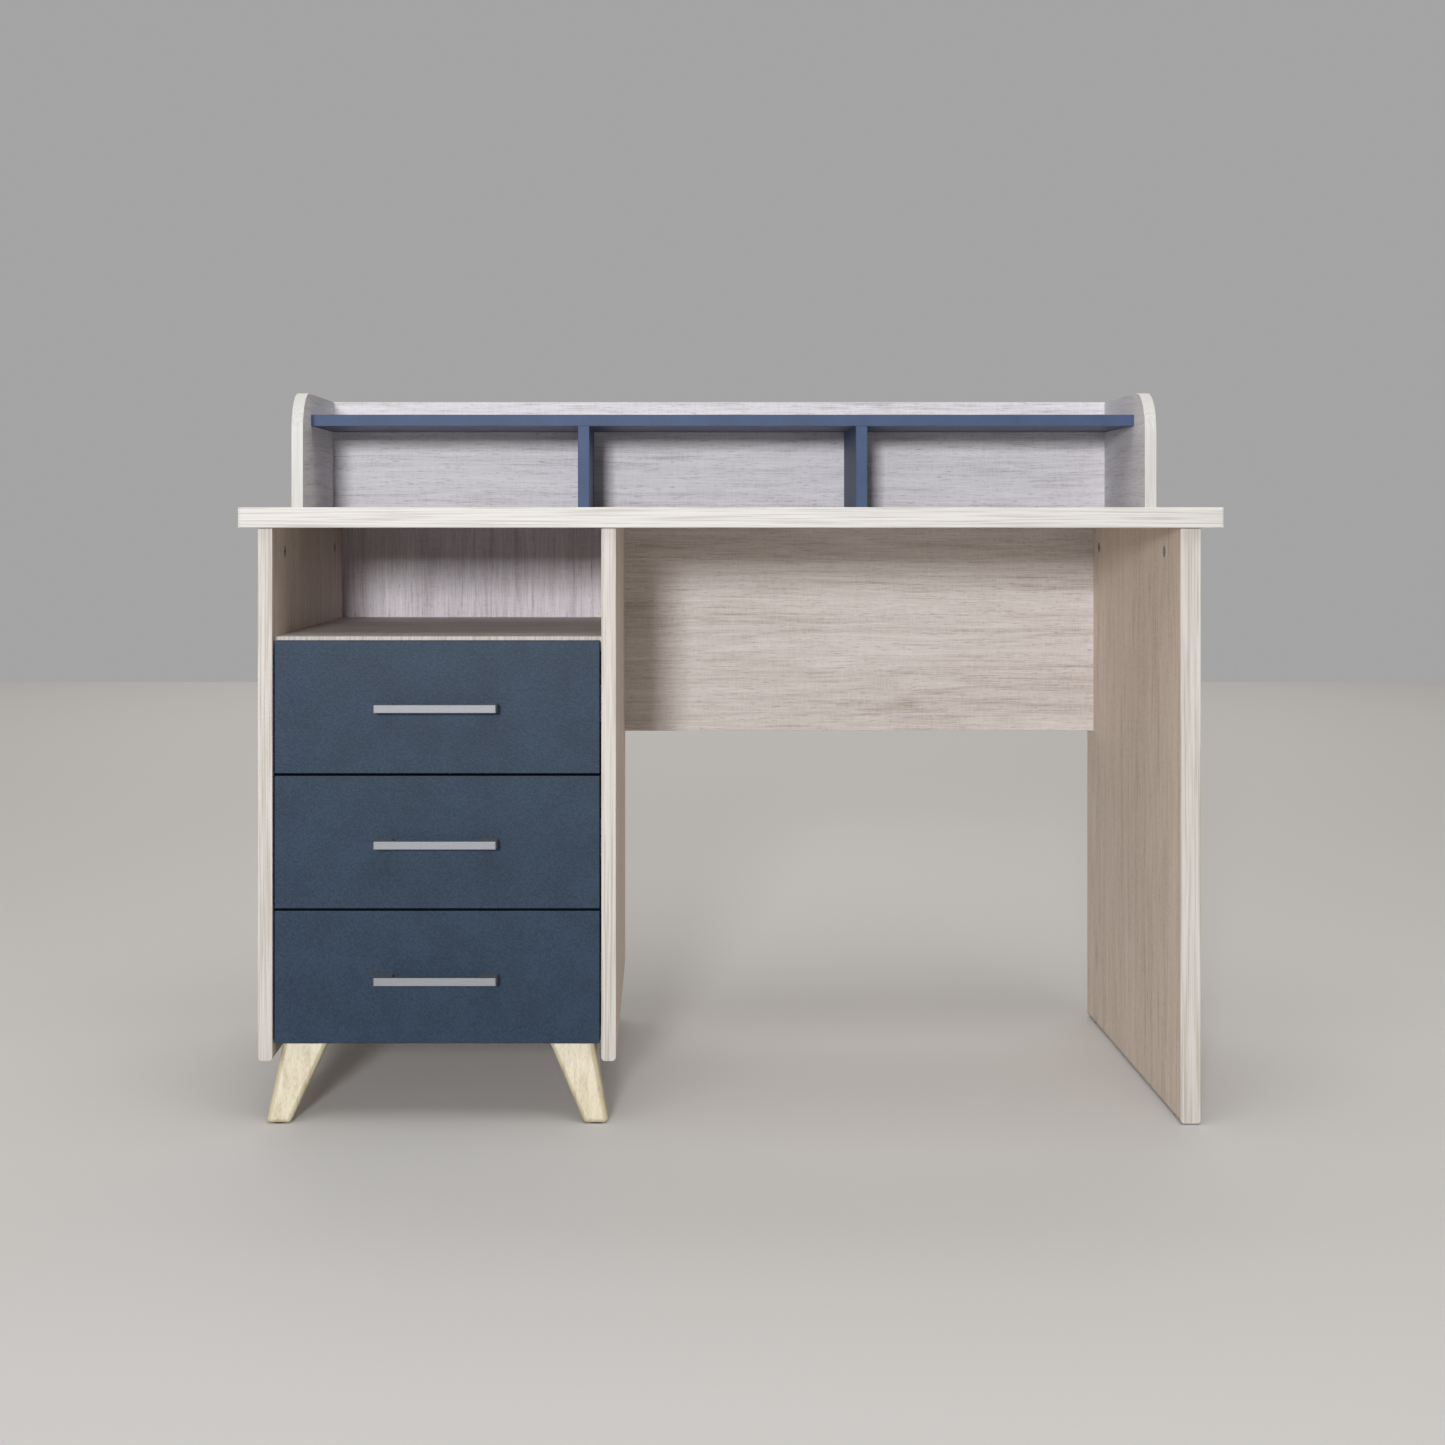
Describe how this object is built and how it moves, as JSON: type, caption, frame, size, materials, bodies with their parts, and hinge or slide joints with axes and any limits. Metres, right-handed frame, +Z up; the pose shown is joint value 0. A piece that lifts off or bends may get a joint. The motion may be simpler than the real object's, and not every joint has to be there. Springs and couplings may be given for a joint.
{
  "type": "writing desk with drawers",
  "caption": "Writing desk with a drawer pedestal on splayed legs, a panel leg, a modesty panel and a low hutch with pigeonholes",
  "frame": {"origin": "on the floor, under the middle of the bounding box", "axes": "+Z up, drawers face -Y, +X to the right of someone sitting at the desk"},
  "size_m": [1.2, 0.614, 0.916],
  "materials": {
    "oak_board": "pale cerused-oak melamine on particle board, brushed matt grain",
    "oak_edge_band": "pale oak ABS edge banding, smoother than the boards",
    "blue_board": "matt blue-grey melamine",
    "blue_edge_band": "matt blue-grey edge banding",
    "blue_front_film": "matt blue-grey film over MDF, fine orange-peel texture",
    "hardboard": "thin printed hardboard",
    "drawer_board": "pale laminated drawer board",
    "satin_nickel": "satin metal",
    "solid_wood": "pale solid wood, clear matt lacquer",
    "dowel_wood": "plain beech",
    "felt": "pressed felt",
    "black_plastic": "moulded nylon",
    "zinc_casting": "die-cast zinc",
    "zinc_steel": "zinc-plated rolled steel",
    "screw_steel": "zinc-plated steel"
  },
  "bodies": {
    "root": {"cabinet_rails": "zinc_steel", "cam_bolts": "screw_steel", "cam_locks": "zinc_casting", "carcass_edge_bands": "oak_edge_band", "cubby_shelf": "oak_board", "desktop": "oak_board", "desktop_edge_bands": "oak_edge_band", "dowels": "dowel_wood", "hutch_back": "oak_board", "hutch_edge_bands": "oak_edge_band", "hutch_left_divider": "blue_board", "hutch_left_side": "oak_board", "hutch_right_divider": "blue_board", "hutch_right_side": "oak_board", "hutch_screws": "screw_steel", "hutch_shelf": "blue_board", "hutch_shelf_edge_bands": "blue_edge_band", "leg_front_left": "solid_wood", "leg_front_right": "solid_wood", "leg_hanger_bolts": "screw_steel", "leg_pads": "felt", "leg_panel": "oak_board", "leg_plate_screws": "screw_steel", "leg_plates": "screw_steel", "leg_rear_left": "solid_wood", "leg_rear_right": "solid_wood", "modesty_panel": "oak_board", "panel_glides": "black_plastic", "pedestal_back": "hardboard", "pedestal_bottom": "oak_board", "pedestal_left_side": "oak_board", "pedestal_right_side": "oak_board", "rail_screws": "screw_steel"},
    "bottom_drawer": {"bottom_drawer_back": "drawer_board", "bottom_drawer_bottom": "hardboard", "bottom_drawer_front": "blue_front_film", "bottom_drawer_left_side": "drawer_board", "bottom_drawer_rails": "zinc_steel", "bottom_drawer_right_side": "drawer_board", "bottom_drawer_screws": "screw_steel", "bottom_handle": "satin_nickel"},
    "bottom_intermediate_rails": {"bottom_intermediate_rails": "zinc_steel"},
    "middle_drawer": {"middle_drawer_back": "drawer_board", "middle_drawer_bottom": "hardboard", "middle_drawer_front": "blue_front_film", "middle_drawer_left_side": "drawer_board", "middle_drawer_rails": "zinc_steel", "middle_drawer_right_side": "drawer_board", "middle_drawer_screws": "screw_steel", "middle_handle": "satin_nickel"},
    "middle_intermediate_rails": {"middle_intermediate_rails": "zinc_steel"},
    "top_drawer": {"top_drawer_back": "drawer_board", "top_drawer_bottom": "hardboard", "top_drawer_front": "blue_front_film", "top_drawer_left_side": "drawer_board", "top_drawer_rails": "zinc_steel", "top_drawer_right_side": "drawer_board", "top_drawer_screws": "screw_steel", "top_handle": "satin_nickel"},
    "top_intermediate_rails": {"top_intermediate_rails": "zinc_steel"}
  },
  "joints": [
    {"name": "bottom_drawer_slide", "type": "slide", "parent": "root", "child": "bottom_drawer", "axis": [0, -1, 0], "range_m": [0, 0.45]},
    {"name": "bottom_rail_slide", "type": "slide", "parent": "root", "child": "bottom_intermediate_rails", "axis": [0, -1, 0], "range_m": [0, 0.225]},
    {"name": "middle_drawer_slide", "type": "slide", "parent": "root", "child": "middle_drawer", "axis": [0, -1, 0], "range_m": [0, 0.45]},
    {"name": "middle_rail_slide", "type": "slide", "parent": "root", "child": "middle_intermediate_rails", "axis": [0, -1, 0], "range_m": [0, 0.225]},
    {"name": "top_drawer_slide", "type": "slide", "parent": "root", "child": "top_drawer", "axis": [0, -1, 0], "range_m": [0, 0.45]},
    {"name": "top_rail_slide", "type": "slide", "parent": "root", "child": "top_intermediate_rails", "axis": [0, -1, 0], "range_m": [0, 0.225]}
  ],
  "couplings": [
    {"joint": "bottom_rail_slide", "follows": "bottom_drawer_slide", "ratio": 0.5},
    {"joint": "middle_rail_slide", "follows": "middle_drawer_slide", "ratio": 0.5},
    {"joint": "top_rail_slide", "follows": "top_drawer_slide", "ratio": 0.5}
  ]
}
